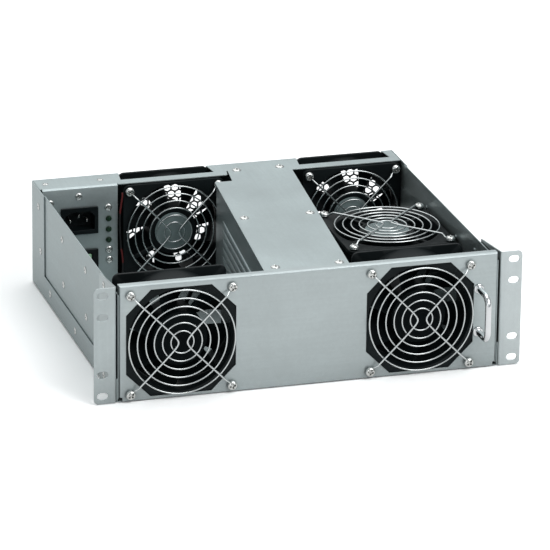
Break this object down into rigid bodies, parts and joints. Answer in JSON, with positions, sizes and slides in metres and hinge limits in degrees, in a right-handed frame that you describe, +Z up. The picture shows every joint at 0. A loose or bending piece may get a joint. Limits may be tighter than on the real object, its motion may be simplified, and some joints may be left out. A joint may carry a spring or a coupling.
{
  "type": "switch fan tray",
  "caption": "Open-top 19-inch 3U fan tray of plated sheet steel with wire-guarded axial fans at the front and rear, slotted rack ears, mains inlet and rocker switch.",
  "frame": {"origin": "middle of the underside of the whole tray's bounding box", "axes": "+X to the right across the rack as the front panel is faced, +Y from the front panel to the rear, +Z up"},
  "size_m": [0.4826, 0.4271, 0.1325],
  "materials": {
    "base_pan": "bright zinc plate",
    "rear_deck": "bright zinc plate",
    "front_panel": "bright zinc plate",
    "rack_ear_left": "bright zinc plate",
    "rack_ear_right": "bright zinc plate",
    "side_plate_left": "bright zinc plate",
    "side_plate_right": "bright zinc plate",
    "duct_wall_left": "bright zinc plate",
    "duct_wall_right": "bright zinc plate",
    "flat_fan_shelf": "bright zinc plate",
    "handle": "polished",
    "fan_frame_front_left": "satin black",
    "fan_impeller_front_left": "black moulding",
    "fan_guard_front_left": "bright plated wire",
    "guard_screw_front_left_1": "nickel plate",
    "guard_screw_front_left_2": "nickel plate",
    "guard_screw_front_left_3": "nickel plate",
    "guard_screw_front_left_4": "nickel plate",
    "fan_frame_front_right": "satin black",
    "fan_impeller_front_right": "black moulding",
    "fan_guard_front_right": "bright plated wire",
    "guard_screw_front_right_1": "nickel plate",
    "guard_screw_front_right_2": "nickel plate",
    "guard_screw_front_right_3": "nickel plate",
    "guard_screw_front_right_4": "nickel plate",
    "fan_frame_rear_left": "satin black",
    "fan_impeller_rear_left": "black moulding",
    "fan_guard_rear_left": "bright plated wire",
    "guard_screw_rear_left_1": "nickel plate",
    "guard_screw_rear_left_2": "nickel plate",
    "guard_screw_rear_left_3": "nickel plate",
    "guard_screw_rear_left_4": "nickel plate",
    "fan_frame_rear_right": "satin black",
    "fan_impeller_rear_right": "black moulding",
    "fan_guard_rear_right": "bright plated wire",
    "guard_screw_rear_right_1": "nickel plate",
    "guard_screw_rear_right_2": "nickel plate",
    "guard_screw_rear_right_3": "nickel plate",
    "guard_screw_rear_right_4": "nickel plate",
    "fan_frame_flat": "satin black",
    "fan_impeller_flat": "black moulding",
    "fan_guard_flat": "bright plated wire",
    "guard_screw_flat_1": "nickel plate",
    "guard_screw_flat_2": "nickel plate",
    "guard_screw_flat_3": "nickel plate",
    "guard_screw_flat_4": "nickel plate",
    "mains_inlet": "black moulding",
    "inlet_pin_earth": "plated",
    "inlet_pin_left": "plated",
    "inlet_pin_right": "plated",
    "switch_case": "black moulding",
    "switch_rocker": "translucent pale green",
    "lamp_1": "dark green lens",
    "lamp_2": "dark green lens",
    "lamp_3": "dark green lens",
    "fan_lead": "dark red insulation"
  },
  "bodies": {
    "chassis": {"base_pan": "base_pan", "rear_deck": "rear_deck", "front_panel": "front_panel", "rack_ear_left": "rack_ear_left", "rack_ear_right": "rack_ear_right", "side_plate_left": "side_plate_left", "side_plate_right": "side_plate_right", "duct_wall_left": "duct_wall_left", "duct_wall_right": "duct_wall_right", "flat_fan_shelf": "flat_fan_shelf", "handle": "handle", "fan_frame_front_left": "fan_frame_front_left", "fan_guard_front_left": "fan_guard_front_left", "guard_screw_front_left_1": "guard_screw_front_left_1", "guard_screw_front_left_2": "guard_screw_front_left_2", "guard_screw_front_left_3": "guard_screw_front_left_3", "guard_screw_front_left_4": "guard_screw_front_left_4", "fan_frame_front_right": "fan_frame_front_right", "fan_guard_front_right": "fan_guard_front_right", "guard_screw_front_right_1": "guard_screw_front_right_1", "guard_screw_front_right_2": "guard_screw_front_right_2", "guard_screw_front_right_3": "guard_screw_front_right_3", "guard_screw_front_right_4": "guard_screw_front_right_4", "fan_frame_rear_left": "fan_frame_rear_left", "fan_guard_rear_left": "fan_guard_rear_left", "guard_screw_rear_left_1": "guard_screw_rear_left_1", "guard_screw_rear_left_2": "guard_screw_rear_left_2", "guard_screw_rear_left_3": "guard_screw_rear_left_3", "guard_screw_rear_left_4": "guard_screw_rear_left_4", "fan_frame_rear_right": "fan_frame_rear_right", "fan_guard_rear_right": "fan_guard_rear_right", "guard_screw_rear_right_1": "guard_screw_rear_right_1", "guard_screw_rear_right_2": "guard_screw_rear_right_2", "guard_screw_rear_right_3": "guard_screw_rear_right_3", "guard_screw_rear_right_4": "guard_screw_rear_right_4", "fan_frame_flat": "fan_frame_flat", "fan_guard_flat": "fan_guard_flat", "guard_screw_flat_1": "guard_screw_flat_1", "guard_screw_flat_2": "guard_screw_flat_2", "guard_screw_flat_3": "guard_screw_flat_3", "guard_screw_flat_4": "guard_screw_flat_4", "mains_inlet": "mains_inlet", "inlet_pin_earth": "inlet_pin_earth", "inlet_pin_left": "inlet_pin_left", "inlet_pin_right": "inlet_pin_right", "switch_case": "switch_case", "lamp_1": "lamp_1", "lamp_2": "lamp_2", "lamp_3": "lamp_3", "fan_lead": "fan_lead"},
    "impeller_front_left": {"fan_impeller_front_left": "fan_impeller_front_left"},
    "impeller_front_right": {"fan_impeller_front_right": "fan_impeller_front_right"},
    "impeller_rear_left": {"fan_impeller_rear_left": "fan_impeller_rear_left"},
    "impeller_rear_right": {"fan_impeller_rear_right": "fan_impeller_rear_right"},
    "impeller_flat": {"fan_impeller_flat": "fan_impeller_flat"},
    "rocker": {"switch_rocker": "switch_rocker"}
  },
  "joints": [
    {"name": "impeller_front_left_spin", "type": "hinge", "parent": "chassis", "child": "impeller_front_left", "pos_m": [-0.1446, -0.14985, 0.065], "axis": [0, 1, 0], "continuous": true},
    {"name": "impeller_front_right_spin", "type": "hinge", "parent": "chassis", "child": "impeller_front_right", "pos_m": [0.125, -0.14985, 0.065], "axis": [0, 1, 0], "continuous": true},
    {"name": "impeller_rear_left_spin", "type": "hinge", "parent": "chassis", "child": "impeller_rear_left", "pos_m": [-0.0585, 0.19145, 0.061], "axis": [0, 1, 0], "continuous": true},
    {"name": "impeller_rear_right_spin", "type": "hinge", "parent": "chassis", "child": "impeller_rear_right", "pos_m": [0.1552, 0.19145, 0.061], "axis": [0, 1, 0], "continuous": true},
    {"name": "impeller_flat_spin", "type": "hinge", "parent": "chassis", "child": "impeller_flat", "pos_m": [0.1482, 0.01685, 0.08], "axis": [0, 0, 1], "continuous": true},
    {"name": "rocker_tilt", "type": "hinge", "parent": "chassis", "child": "rocker", "pos_m": [-0.169, 0.17615, 0.0344], "axis": [0, 0, 1], "range_deg": [0, 12]}
  ]
}
